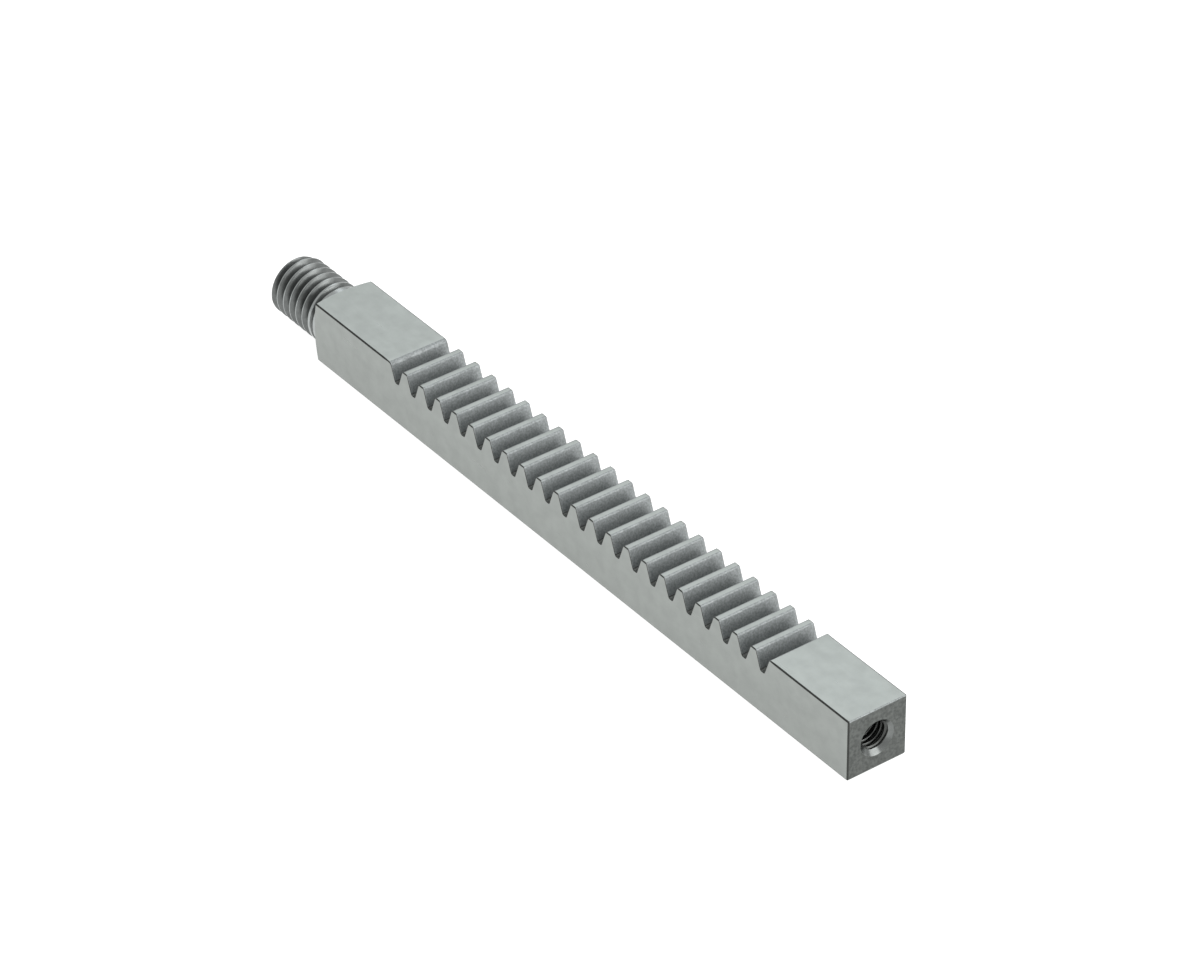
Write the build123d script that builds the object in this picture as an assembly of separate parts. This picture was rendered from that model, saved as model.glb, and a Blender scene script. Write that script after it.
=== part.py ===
"""A toothed rack bar, machined from one length of square steel bar.

Gear teeth are cut in the top face between two plain blocks. One end is turned down as a stud
for a 3/8-16 UNC thread, and the other is drilled and countersunk for a 10-32 UNF thread. The
threads themselves are left plain here: the stud is drawn at its thread's outside diameter,
and the hole at its thread's inside diameter.

Frame, in millimetres: +X runs along the bar from the stud's shoulder to the tapped end, +Y
across it, and +Z up through the teeth. The origin is on the back face, under the shoulder,
on the bar's centre plane.
"""

from build123d import *
import math
import os

INCH = 25.4

# Square bar
bar_width = 9.80
bar_length = 122.45
edge_break = 0.20
shoulder_break_depth = 0.50
shoulder_break_start_radius = 5.15

# Teeth: 20 diametral pitch, 20 degree pressure angle, full depth
diametral_pitch = 20
pressure_angle = 20
gullet_count = 22
first_gullet_x = 20.60
tooth_pitch = math.pi * INCH / diametral_pitch
addendum = INCH / diametral_pitch
tooth_depth = 2.25 * INCH / diametral_pitch
root_radius = 0.35
tip_radius = 0.35
stud_side_corner_radius = 0.80
tapped_side_corner_radius = 0.25

# Stud, for a 3/8-16 UNC thread
stud_length = 11.85
stud_radius = 4.745
stud_end_chamfer = 0.45

# Blind hole, for a 10-32 UNF thread
hole_radius = 2.03
hole_mouth_radius = 2.80
hole_depth = 13.0
drill_point_angle = 118

axis_height = bar_width / 2


def tangent(degrees):
    return math.tan(math.radians(degrees))


def top_corners(outline, x_values):
    """The outline's corners in the bar's top face at these distances along the bar."""
    return outline.vertices().filter_by(
        lambda v: abs(v.Z - bar_width) < 0.01 and any(abs(v.X - x) < 0.01 for x in x_values)
    )


def toothed_outline():
    """The bar's side view, with its gullets, rounded tooth tips and block corners."""
    root_z = bar_width - tooth_depth
    root_below_pitch_line = tooth_depth - addendum
    half_gap_on_pitch_line = tooth_pitch / 4
    half_root = half_gap_on_pitch_line - root_below_pitch_line * tangent(pressure_angle)
    half_mouth = half_gap_on_pitch_line + addendum * tangent(pressure_angle)
    middles = [first_gullet_x + index * tooth_pitch for index in range(gullet_count)]

    points = [(0, 0), (0, bar_width)]
    for middle in middles:
        points += [
            (middle - half_mouth, bar_width),
            (middle - half_root, root_z),
            (middle + half_root, root_z),
            (middle + half_mouth, bar_width),
        ]
    points += [(bar_length, bar_width), (bar_length, 0)]
    outline = make_face(Plane.XZ * Polyline(*points, close=True))

    root_corners = outline.vertices().filter_by(lambda v: abs(v.Z - root_z) < 0.01)
    outline = fillet(root_corners, root_radius)
    mouths = [middle + side * half_mouth for middle in middles for side in (-1, 1)]
    outline = fillet(top_corners(outline, mouths[1:-1]), tip_radius)
    outline = fillet(top_corners(outline, mouths[:1]), stud_side_corner_radius)
    return fillet(top_corners(outline, mouths[-1:]), tapped_side_corner_radius)


def long_edge_tool(side, top):
    """A prism that breaks one long edge. side and top are each -1 or 1."""
    corner_y = side * bar_width / 2
    corner_z = bar_width if top > 0 else 0
    section = Polyline(
        (-1, corner_y - side * edge_break, corner_z),
        (-1, corner_y, corner_z - top * edge_break),
        (-1, corner_y + side, corner_z - top * edge_break),
        (-1, corner_y + side, corner_z + top),
        (-1, corner_y - side * edge_break, corner_z + top),
        close=True,
    )
    return extrude(make_face(section), amount=bar_length + 2, dir=(1, 0, 0))


def turned(points):
    """Revolve an outline of (distance along the bar, radius) points about the bar's axis."""
    outline = [(x, 0, axis_height + radius) for x, radius in points]
    bar_axis = Axis((0, 0, axis_height), (1, 0, 0))
    return revolve(make_face(Polyline(*outline, close=True)), bar_axis)


def make_bar():
    bar = extrude(toothed_outline(), amount=bar_width / 2, both=True)
    for side in (-1, 1):
        for top in (-1, 1):
            bar -= long_edge_tool(side, top)
    tapped_end = bar.faces().sort_by(Axis.X)[-1]
    return chamfer(tapped_end.edges(), edge_break)


def shoulder_break():
    """The turning tool's cone, which takes the four corners off the shoulder."""
    corner_radius = bar_width / math.sqrt(2)
    return turned(
        [
            (0, shoulder_break_start_radius),
            (shoulder_break_depth, corner_radius),
            (shoulder_break_depth, corner_radius + 1),
            (-1, corner_radius + 1),
            (-1, shoulder_break_start_radius),
        ]
    )


def stud():
    return turned(
        [
            (1, 0),
            (1, stud_radius),
            (stud_end_chamfer - stud_length, stud_radius),
            (-stud_length, stud_radius - stud_end_chamfer),
            (-stud_length, 0),
        ]
    )


def hole():
    """The hole's drill and countersink, as one cutter."""
    countersink_depth = hole_mouth_radius - hole_radius
    point_depth = hole_radius / tangent(drill_point_angle / 2)
    return turned(
        [
            (bar_length + 1, 0),
            (bar_length + 1, hole_mouth_radius + 1),
            (bar_length - countersink_depth, hole_radius),
            (bar_length - hole_depth, hole_radius),
            (bar_length - hole_depth - point_depth, 0),
        ]
    )


rack_bar = make_bar() - shoulder_break() + stud() - hole()
rack_bar.label = "rack_bar"

os.makedirs("parts", exist_ok=True)
export_step(rack_bar, "parts/rack_bar.step")
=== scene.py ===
"""The rack bar as one closed, finely detailed mesh, with its materials, light and camera.

The surface is drawn as rows of points round the bar's axis. The rows run from the free end of
the threaded stud, along the square bar, over the far end face and down into the tapped hole.
"""

import math

import bmesh
import bpy
from mathutils import Matrix, Vector


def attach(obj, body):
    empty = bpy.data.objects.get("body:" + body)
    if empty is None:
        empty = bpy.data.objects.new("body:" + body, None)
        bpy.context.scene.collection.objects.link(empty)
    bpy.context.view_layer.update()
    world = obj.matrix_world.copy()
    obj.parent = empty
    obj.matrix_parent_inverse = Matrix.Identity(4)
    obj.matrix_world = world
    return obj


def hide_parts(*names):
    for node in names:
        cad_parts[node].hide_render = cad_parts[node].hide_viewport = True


INCH = 25.4
MM = 0.001

# Square bar, in millimetres, as in the CAD model
BAR_WIDTH = 9.80
BAR_LENGTH = 122.45
HALF_WIDTH = BAR_WIDTH / 2
EDGE_BREAK = 0.20
SHOULDER_BREAK_DEPTH = 0.50
SHOULDER_BREAK_START = 5.15

# Teeth
DIAMETRAL_PITCH = 20
PRESSURE_ANGLE = 20.0
GULLET_COUNT = 22
FIRST_GULLET_X = 20.60
TOOTH_PITCH = math.pi * INCH / DIAMETRAL_PITCH
ADDENDUM = INCH / DIAMETRAL_PITCH
TOOTH_DEPTH = 2.25 * INCH / DIAMETRAL_PITCH
ROOT_RADIUS = 0.35
ROOT_TOP = HALF_WIDTH - TOOTH_DEPTH + ROOT_RADIUS
TIP_RADIUS = 0.35
STUD_SIDE_CORNER = 0.80
TAPPED_SIDE_CORNER = 0.25
TIP_EDGE_BREAK = 0.14
FLANK_EDGE_BREAK = 0.06

# Stud, with a 3/8-16 UNC thread
STUD_LENGTH = 11.85
STUD_RADIUS = 4.745
STUD_CHAMFER = 0.45
STUD_PITCH = INCH / 16
STUD_LAST_GROOVE_X = -1.61
STUD_FADE_START = -0.25
STUD_FADE_END = 0.56

# Blind hole, with a 10-32 UNF thread
HOLE_RADIUS = 2.03
HOLE_MOUTH_RADIUS = 2.80
HOLE_DEPTH = 13.0
COUNTERSINK_DEPTH = HOLE_MOUTH_RADIUS - HOLE_RADIUS
DRILL_POINT_ANGLE = 118
HOLE_PITCH = INCH / 32
HOLE_THREAD_DEPTH = 0.40
HOLE_THREAD_LENGTH = 11.0
HOLE_START_TURN = 0.35

# Both threads
FLANK_SLOPE = 1 / math.tan(math.radians(30))
ROOT_FLAT_SHARE = 1 / 6
THREAD_HEIGHT_SHARE = 0.6134

# How finely the surface is drawn
HALF_SIDE_STEPS = 14
ARC_STEPS = 5
THREAD_ROWS_PER_PITCH = 20


# ---------------------------------------------------------------- sections across the bar


def straight(start, end, steps):
    """Points from start up to, and without, end."""
    return [
        tuple(a + (b - a) * index / steps for a, b in zip(start, end))
        for index in range(steps)
    ]


def square_row(x, top, inward=(0, -1), top_break=EDGE_BREAK, bottom_break=EDGE_BREAK):
    """One row round the square bar.

    It starts at the middle of the top and goes round by the -Y side. top is the height of
    the top surface above the axis, and inward is the (x, z) direction into the metal there,
    in which the rounding of the top's edges sinks.
    """

    def top_point(side, turn):
        sink = top_break * (1 - math.cos(turn))
        y = side * (HALF_WIDTH - top_break + top_break * math.sin(turn))
        return (x + sink * inward[0], y, top + sink * inward[1])

    def bottom_point(side, turn):
        y = side * (HALF_WIDTH - bottom_break + bottom_break * math.sin(turn))
        return (x, y, -HALF_WIDTH + bottom_break * (1 - math.cos(turn)))

    quarter = math.pi / 2
    turns = [quarter * index / ARC_STEPS for index in range(ARC_STEPS)]
    back_turns = [quarter - turn for turn in turns]
    row = straight((x, 0, top), top_point(-1, 0), HALF_SIDE_STEPS)
    row += [top_point(-1, turn) for turn in turns]
    row += straight(top_point(-1, quarter), bottom_point(-1, quarter), 2 * HALF_SIDE_STEPS)
    row += [bottom_point(-1, turn) for turn in back_turns]
    row += straight(bottom_point(-1, 0), bottom_point(1, 0), 2 * HALF_SIDE_STEPS)
    row += [bottom_point(1, turn) for turn in turns]
    row += straight(bottom_point(1, quarter), top_point(1, quarter), 2 * HALF_SIDE_STEPS)
    row += [top_point(1, turn) for turn in back_turns]
    row += straight(top_point(1, 0), (x, 0, top), HALF_SIDE_STEPS)
    return row


# Each column's angle on the round parts, from +Z towards -Y
COLUMN_ANGLES = [math.atan2(-y, z) % math.tau for x, y, z in square_row(0, HALF_WIDTH)]


def round_row(x, radius):
    return [(x, -radius * math.sin(a), radius * math.cos(a)) for a in COLUMN_ANGLES]


# ---------------------------------------------------------------- the bar's side view


def rounded_line(corners, steps=7):
    """Points of (x, z, inward direction) along a line whose corners are rounded.

    corners are (x, z, radius). The metal is on the right of the line's direction.
    """
    points = []
    for before, corner, after in zip(corners, corners[1:], corners[2:]):
        here = Vector(corner[:2])
        into = (here - Vector(before[:2])).normalized()
        away = (Vector(after[:2]) - here).normalized()
        bend = math.atan2(into.cross(away), into.dot(away))
        tangent_length = corner[2] * math.tan(abs(bend) / 2)
        start = here - into * tangent_length
        to_centre = Vector((-into.y, into.x)) * math.copysign(corner[2], bend)
        centre = start + to_centre
        for index in range(steps + 1):
            turn = Matrix.Rotation(bend * index / steps, 2)
            point = centre + turn @ -to_centre
            direction = turn @ into
            points.append((point.x, point.y, (direction.y, -direction.x)))
    return points


def toothed_top():
    """The top surface from the first block's end to the last block's, past all gullets."""
    top = HALF_WIDTH
    root = top - TOOTH_DEPTH
    slope = math.tan(math.radians(PRESSURE_ANGLE))
    half_mouth = TOOTH_PITCH / 4 + ADDENDUM * slope
    half_root = TOOTH_PITCH / 4 - (TOOTH_DEPTH - ADDENDUM) * slope

    corners = [(FIRST_GULLET_X - TOOTH_PITCH, top, 0)]
    for index in range(GULLET_COUNT):
        middle = FIRST_GULLET_X + index * TOOTH_PITCH
        corners += [
            (middle - half_mouth, top, STUD_SIDE_CORNER if index == 0 else TIP_RADIUS),
            (middle - half_root, root, ROOT_RADIUS),
            (middle + half_root, root, ROOT_RADIUS),
            (middle + half_mouth, top, TIP_RADIUS),
        ]
    corners[-1] = (*corners[-1][:2], TAPPED_SIDE_CORNER)
    corners.append((corners[-1][0] + TOOTH_PITCH, top, 0))
    return rounded_line(corners)


def tooth_rows():
    """Rows over the teeth. Tips keep more of the bar's broken edge than flanks do."""
    rows = []
    for x, z, inward in toothed_top():
        flatness = max(0, -inward[1]) ** 4 if z > HALF_WIDTH - 0.5 else 0
        edge = FLANK_EDGE_BREAK + (TIP_EDGE_BREAK - FLANK_EDGE_BREAK) * flatness
        rows.append(square_row(x, z, inward, top_break=edge))
    return rows


def shoulder_x(y, z):
    """How far the turned cone at the shoulder sets this corner of the bar back."""
    radius = math.hypot(y, z)
    cone = SHOULDER_BREAK_DEPTH / (HALF_WIDTH * math.sqrt(2) - SHOULDER_BREAK_START)
    return max(0, radius - SHOULDER_BREAK_START) * cone


def bar_rows():
    """Rows from the shoulder's flat ring to the tapped end's flat ring."""
    outline = square_row(0, HALF_WIDTH)
    ring = []
    for _, y, z in outline:
        shrink = min(1, SHOULDER_BREAK_START / math.hypot(y, z))
        ring.append((0, y * shrink, z * shrink))
    rows = [ring, [(shoulder_x(y, z), y, z) for _, y, z in outline]]
    rows.append(square_row(1, HALF_WIDTH))

    teeth = tooth_rows()
    rows.append(square_row(teeth[0][0][0] - 1, HALF_WIDTH))
    rows += teeth
    rows.append(square_row(teeth[-1][0][0] + 1, HALF_WIDTH))

    rows.append(square_row(BAR_LENGTH - 1, HALF_WIDTH))
    for index in range(ARC_STEPS + 1):
        turn = math.pi / 2 * index / ARC_STEPS
        x = BAR_LENGTH - EDGE_BREAK * (1 - math.sin(turn))
        shrink = 1 - EDGE_BREAK * (1 - math.cos(turn)) / HALF_WIDTH
        rows.append([(x, y * shrink, z * shrink) for _, y, z in outline])
    return rows


# ---------------------------------------------------------------- threads


def groove_depth(x, angle, last_groove_x, pitch, full_depth, share):
    """How deep a right-handed thread groove is at this point of the surface it is cut in.

    share gives the part of the full depth that is cut, by how many turns along the groove
    the point is.
    """
    turns = (x - last_groove_x) / pitch - angle / math.tau
    nearest = round(turns)
    from_middle = abs(turns - nearest) * pitch
    half_root = ROOT_FLAT_SHARE * pitch / 2
    cut = full_depth * share(nearest + angle / math.tau)
    return max(0, cut - max(0, from_middle - half_root) * FLANK_SLOPE)


def ramp(value, start, end):
    return min(1, max(0, (value - start) / (end - start)))


def stud_surface(x, angle):
    """The stud's radius, with its thread and its chamfered free end."""
    depth = groove_depth(
        x,
        angle,
        STUD_LAST_GROOVE_X,
        STUD_PITCH,
        THREAD_HEIGHT_SHARE * STUD_PITCH,
        lambda turns: 1 - ramp(turns, STUD_FADE_START, STUD_FADE_END),
    )
    chamfer = STUD_RADIUS - STUD_CHAMFER + (x + STUD_LENGTH)
    return min(STUD_RADIUS - depth, chamfer)


def hole_surface(x, angle):
    """The hole's radius, with its thread and its countersunk mouth."""
    first_turn = -HOLE_THREAD_LENGTH / HOLE_PITCH
    depth = groove_depth(
        x,
        angle,
        BAR_LENGTH + HOLE_START_TURN * HOLE_PITCH,
        HOLE_PITCH,
        HOLE_THREAD_DEPTH,
        lambda turns: ramp(turns, first_turn, first_turn + 0.5),
    )
    countersink = HOLE_MOUTH_RADIUS - (BAR_LENGTH - x)
    return max(HOLE_RADIUS + depth, countersink)


def threaded_grid(surface, low, high, pitch, first_x):
    """Columns of points whose rows follow a thread's helix, held between two planes.

    The last column is the first one again, one turn on.
    """
    first_row = math.floor((low - first_x) / pitch) - 1
    last_row = math.ceil((high - first_x) / pitch) + 1
    offsets = [
        first_x + pitch * (turn + step / THREAD_ROWS_PER_PITCH)
        for turn in range(first_row, last_row)
        for step in range(THREAD_ROWS_PER_PITCH)
    ]
    columns = []
    for angle in [*COLUMN_ANGLES, math.tau]:
        column = []
        for offset in offsets:
            x = min(high, max(low, offset + pitch * angle / math.tau))
            radius = surface(x, angle % math.tau)
            column.append((x, -radius * math.sin(angle), radius * math.cos(angle)))
        columns.append(column)
    return columns


# ---------------------------------------------------------------- the mesh


def add_rows(mesh, rows, closed=True):
    """Faces between neighbouring rows, closed round the axis."""
    loops = [[mesh.verts.new(point) for point in row] for row in rows]
    count = len(loops[0])
    faces = []
    for near, far in zip(loops, loops[1:]):
        for index in range(count if closed else count - 1):
            after = (index + 1) % count
            faces.append(mesh.faces.new((near[index], far[index], far[after], near[after])))
    return faces


def add_cap(mesh, row, centre, outward):
    """A fan from a row to a point on the axis."""
    loop = [mesh.verts.new(point) for point in row]
    middle = mesh.verts.new(centre)
    faces = []
    for index, corner in enumerate(loop):
        after = loop[(index + 1) % len(loop)]
        corners = (corner, after, middle) if outward > 0 else (after, corner, middle)
        faces.append(mesh.faces.new(corners))
    return faces


# The slots for the gullet roots, the thread below its crests, the tapped end face, the side edge
# breaks and the bore hold steel darkened as painted shade.
GROUND, MILLED, ROOT_PAINTED_SHADE, TURNED, FLANK_PAINTED_SHADE, END_FACE_PAINTED_SHADE, EDGE_PAINTED_SHADE, BORE_PAINTED_SHADE, COUNTERSUNK = range(9)


def bar_finish(face):
    """The look of one face of the square bar's skin: ground, milled in the gaps, or darkened as
    painted shade on the side edge breaks and in the gullet roots.
    """
    heights = [vert.co.z for vert in face.verts]
    across = abs(face.calc_center_median().y)
    # The rounded side edge breaks get dark steel: painted shade, a dark line along each edge.
    if HALF_WIDTH - EDGE_BREAK < across < HALF_WIDTH - 0.002:
        return EDGE_PAINTED_SHADE
    below_top = max(heights) <= HALF_WIDTH - 1e-4
    above_roots = min(heights) > HALF_WIDTH - TOOTH_DEPTH - 0.1
    if not (below_top and above_roots and across < HALF_WIDTH - 0.03):
        return GROUND
    # Faces low in the gullets get the root steel, darkened as painted shade in the roots.
    return ROOT_PAINTED_SHADE if max(heights) < ROOT_TOP else MILLED


def build_bar():
    mesh = bmesh.new()

    def finish(faces, material):
        for face in faces:
            face.material_index = material

    stud = threaded_grid(stud_surface, -STUD_LENGTH, 0, STUD_PITCH, STUD_LAST_GROOVE_X)
    thread = add_rows(mesh, list(zip(*stud)), closed=False)
    finish(thread, TURNED)
    # All of the stud's thread below its crests gets darker steel: painted shade in the grooves.
    for face in thread:
        radius = min(math.hypot(vert.co.y, vert.co.z) for vert in face.verts)
        if radius < STUD_RADIUS - 0.04:
            face.material_index = FLANK_PAINTED_SHADE
    end_row = [
        (-STUD_LENGTH, -r * math.sin(a), r * math.cos(a))
        for a in COLUMN_ANGLES
        for r in [stud_surface(-STUD_LENGTH, a)]
    ]
    finish(add_cap(mesh, end_row, (-STUD_LENGTH, 0, 0), -1), TURNED)

    rows = bar_rows()
    finish(add_rows(mesh, [round_row(0, STUD_RADIUS), *rows[:2]]), TURNED)
    for face in add_rows(mesh, rows[1:]):
        face.material_index = bar_finish(face)
    # The tapped end face gets darker steel than the sides: painted shade on that face.
    finish(add_rows(mesh, [rows[-1], round_row(BAR_LENGTH, HOLE_MOUTH_RADIUS)]), END_FACE_PAINTED_SHADE)

    bottom = BAR_LENGTH - HOLE_DEPTH
    hole = threaded_grid(hole_surface, bottom, BAR_LENGTH, HOLE_PITCH, BAR_LENGTH)
    bore = add_rows(mesh, [row for row in reversed(list(zip(*hole)))], closed=False)
    # The bore and its thread get very dark steel: painted shade inside the hole. The countersink
    # keeps a lighter steel.
    finish(bore, BORE_PAINTED_SHADE)
    for face in bore:
        if min(vert.co.x for vert in face.verts) > BAR_LENGTH - COUNTERSINK_DEPTH:
            face.material_index = COUNTERSUNK
    tip = bottom - HOLE_RADIUS / math.tan(math.radians(DRILL_POINT_ANGLE / 2))
    finish(add_cap(mesh, round_row(bottom, HOLE_RADIUS), (tip, 0, 0), 1), BORE_PAINTED_SHADE)

    bmesh.ops.remove_doubles(mesh, verts=mesh.verts, dist=0.0015)
    bmesh.ops.dissolve_degenerate(mesh, edges=mesh.edges, dist=0.0005)
    bmesh.ops.recalc_face_normals(mesh, faces=mesh.faces)
    bmesh.ops.transform(
        mesh,
        matrix=Matrix.Scale(MM, 4) @ Matrix.Translation((0, 0, HALF_WIDTH)),
        verts=mesh.verts,
    )
    open_edges = sum(1 for edge in mesh.edges if len(edge.link_faces) != 2)
    print("bar mesh:", len(mesh.faces), "faces,", open_edges, "open edges")

    data = bpy.data.meshes.new("rack_bar_visual")
    mesh.to_mesh(data)
    mesh.free()
    data.shade_smooth()
    data.set_sharp_from_angle(angle=math.radians(28))
    return bpy.data.objects.new("rack_bar_visual", data)


# ---------------------------------------------------------------- materials


def steel(name, color, roughness, mottle, spots, grain, grain_scale, bump):
    """Bare steel, with mottling, and a fine grain stretched along the tool's travel.

    mottle is the strength of the spots, and spots how many there are in a metre.
    """
    material = bpy.data.materials.new(name)
    material.use_nodes = True
    nodes = material.node_tree.nodes
    links = material.node_tree.links
    shader = nodes["Principled BSDF"]
    shader.inputs["Metallic"].default_value = 1.0

    place = nodes.new("ShaderNodeTexCoord")
    clouds = nodes.new("ShaderNodeTexNoise")
    clouds.inputs["Scale"].default_value = spots
    clouds.inputs["Detail"].default_value = 4
    links.new(place.outputs["Object"], clouds.inputs["Vector"])

    stretch = nodes.new("ShaderNodeMapping")
    stretch.inputs["Scale"].default_value = grain_scale
    links.new(place.outputs["Object"], stretch.inputs["Vector"])
    lines = nodes.new("ShaderNodeTexNoise")
    lines.inputs["Scale"].default_value = 1000
    lines.inputs["Detail"].default_value = 5
    lines.inputs["Roughness"].default_value = 0.6
    links.new(stretch.outputs["Vector"], lines.inputs["Vector"])

    contrast = nodes.new("ShaderNodeMapRange")
    contrast.inputs["From Min"].default_value = 0.35
    contrast.inputs["From Max"].default_value = 0.65
    links.new(clouds.outputs["Fac"], contrast.inputs["Value"])

    tint = nodes.new("ShaderNodeMix")
    tint.data_type = "RGBA"
    tint.inputs["A"].default_value = (*[c * (1 - mottle) for c in color], 1)
    tint.inputs["B"].default_value = (*[min(1, c * (1 + mottle)) for c in color], 1)
    links.new(contrast.outputs["Result"], tint.inputs["Factor"])
    links.new(tint.outputs["Result"], shader.inputs["Base Color"])

    rough = nodes.new("ShaderNodeMapRange")
    rough.inputs["From Min"].default_value = 0.3
    rough.inputs["From Max"].default_value = 0.7
    rough.inputs["To Min"].default_value = roughness - grain
    rough.inputs["To Max"].default_value = roughness + grain
    links.new(lines.outputs["Fac"], rough.inputs["Value"])
    links.new(rough.outputs["Result"], shader.inputs["Roughness"])

    relief = nodes.new("ShaderNodeBump")
    relief.inputs["Strength"].default_value = bump
    relief.inputs["Distance"].default_value = 0.00002
    links.new(lines.outputs["Fac"], relief.inputs["Height"])
    links.new(relief.outputs["Normal"], shader.inputs["Normal"])
    return material


def plain(name, color, glow):
    """A matt surface that also glows a little, like a lit tabletop, so shadows stay faint."""
    material = bpy.data.materials.new(name)
    material.use_nodes = True
    shader = material.node_tree.nodes["Principled BSDF"]
    shader.inputs["Base Color"].default_value = (*color, 1)
    shader.inputs["Roughness"].default_value = 0.9
    shader.inputs["Emission Color"].default_value = (1, 1, 1, 1)
    shader.inputs["Emission Strength"].default_value = glow
    return material


# ---------------------------------------------------------------- light, floor and camera

WHITE = (1.0, 1.0, 1.0)
COOL = (0.93, 0.97, 1.0)


def area_light(name, place, target, size, power, color):
    light = bpy.data.lights.new(name, "AREA")
    light.shape = "RECTANGLE"
    light.size = size[0]
    light.size_y = size[1]
    light.energy = power
    light.color = color
    lamp = bpy.data.objects.new(name, light)
    lamp.location = place
    lamp.rotation_euler = (Vector(target) - Vector(place)).to_track_quat("-Z", "Y").to_euler()
    bpy.context.collection.objects.link(lamp)
    return lamp


def set_world(color, strength):
    world = bpy.data.worlds.new("studio")
    world.use_nodes = True
    background = world.node_tree.nodes["Background"]
    background.inputs["Color"].default_value = (*color, 1)
    background.inputs["Strength"].default_value = strength
    bpy.context.scene.world = world


def add_floor():
    bpy.ops.mesh.primitive_plane_add(size=6, location=(0, 0, -0.0002))
    floor = bpy.context.object
    floor.name = "floor"
    floor.data.materials.append(plain("floor_white", (0.30, 0.30, 0.30), glow=0.92))


def add_camera():
    camera = bpy.data.cameras.new("camera")
    camera.lens = 171.3
    camera.sensor_width = 36
    camera.clip_end = 20
    eye = bpy.data.objects.new("camera", camera)
    forward = Vector((-0.65146, 0.48193, -0.58595)).normalized()
    right = Vector((0.59932, 0.80047, -0.00796)).normalized()
    up = right.cross(forward).normalized()
    right = forward.cross(up)
    axes = Matrix((right, up, -forward)).transposed().to_4x4()
    eye.matrix_world = Matrix.Translation((0.57111, -0.37654, 0.46967)) @ axes
    bpy.context.collection.objects.link(eye)
    bpy.context.scene.camera = eye


# ---------------------------------------------------------------- the scene

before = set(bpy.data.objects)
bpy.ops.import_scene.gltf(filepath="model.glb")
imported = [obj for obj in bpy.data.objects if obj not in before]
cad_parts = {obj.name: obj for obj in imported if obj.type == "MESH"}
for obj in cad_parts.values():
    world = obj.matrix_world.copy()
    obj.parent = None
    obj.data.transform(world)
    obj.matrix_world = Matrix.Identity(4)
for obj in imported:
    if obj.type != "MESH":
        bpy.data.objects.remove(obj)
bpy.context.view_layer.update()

bar = build_bar()
bpy.context.collection.objects.link(bar)
for settings in [
    ("steel_ground", (0.285, 0.303, 0.289), 0.30, 0.05, 420, 0.03, (0.06, 1.0, 1.0), 0.30),
    ("steel_milled", (0.26, 0.276, 0.276), 0.56, 0.18, 3600, 0.08, (1.0, 1.0, 0.15), 0.90),
    # gullet roots: darker steel, painted shade
    ("steel_root_painted_shade", (0.10, 0.105, 0.10), 0.60, 0.18, 3600, 0.08, (1.0, 1.0, 0.15), 0.90),
    ("steel_turned", (0.36, 0.38, 0.375), 0.26, 0.06, 900, 0.05, (1.0, 0.1, 0.1), 0.30),
    # thread below the crests: darker steel, painted shade
    ("steel_thread_painted_shade", (0.16, 0.168, 0.165), 0.32, 0.10, 1200, 0.05, (1.0, 0.1, 0.1), 0.30),
    # tapped end face: darker steel, painted shade
    ("steel_end_face_painted_shade", (0.110, 0.117, 0.111), 0.45, 0.22, 2200, 0.08, (1.0, 0.5, 0.5), 0.70),
    # side edge breaks: dark steel, painted shade
    ("steel_edge_painted_shade", (0.05, 0.053, 0.05), 0.34, 0.10, 900, 0.05, (1.0, 0.5, 0.5), 0.30),
    # bore: very dark steel, painted shade
    ("steel_bore_painted_shade", (0.07, 0.073, 0.07), 0.28, 0.06, 900, 0.05, (1.0, 0.3, 0.3), 0.40),
    ("steel_countersunk", (0.18, 0.19, 0.185), 0.24, 0.10, 900, 0.05, (1.0, 0.3, 0.3), 0.40),
]:
    bar.data.materials.append(steel(*settings))
weighted = bar.modifiers.new("weighted_normals", "WEIGHTED_NORMAL")
weighted.keep_sharp = True
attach(bar, "root")
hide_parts("rack_bar")

set_world(WHITE, 0.75)
area_light("back_left_softbox", (-0.42, 0.62, 0.84), (0.06, 0, 0), (0.9, 0.8), 2.5, COOL)
area_light("back_right_softbox", (0.62, 0.55, 0.62), (0.06, 0, 0), (0.8, 0.7), 4.0, WHITE)
area_light("right_softbox", (1.00, 0.30, 0.26), (0.0, 0, 0), (0.9, 0.35), 2.6, WHITE)
area_light("overhead", (0.1, -0.1, 1.1), (0.06, 0, 0), (0.8, 0.8), 2.2, WHITE)
add_floor()
add_camera()
bpy.context.scene.view_settings.view_transform = "Standard"
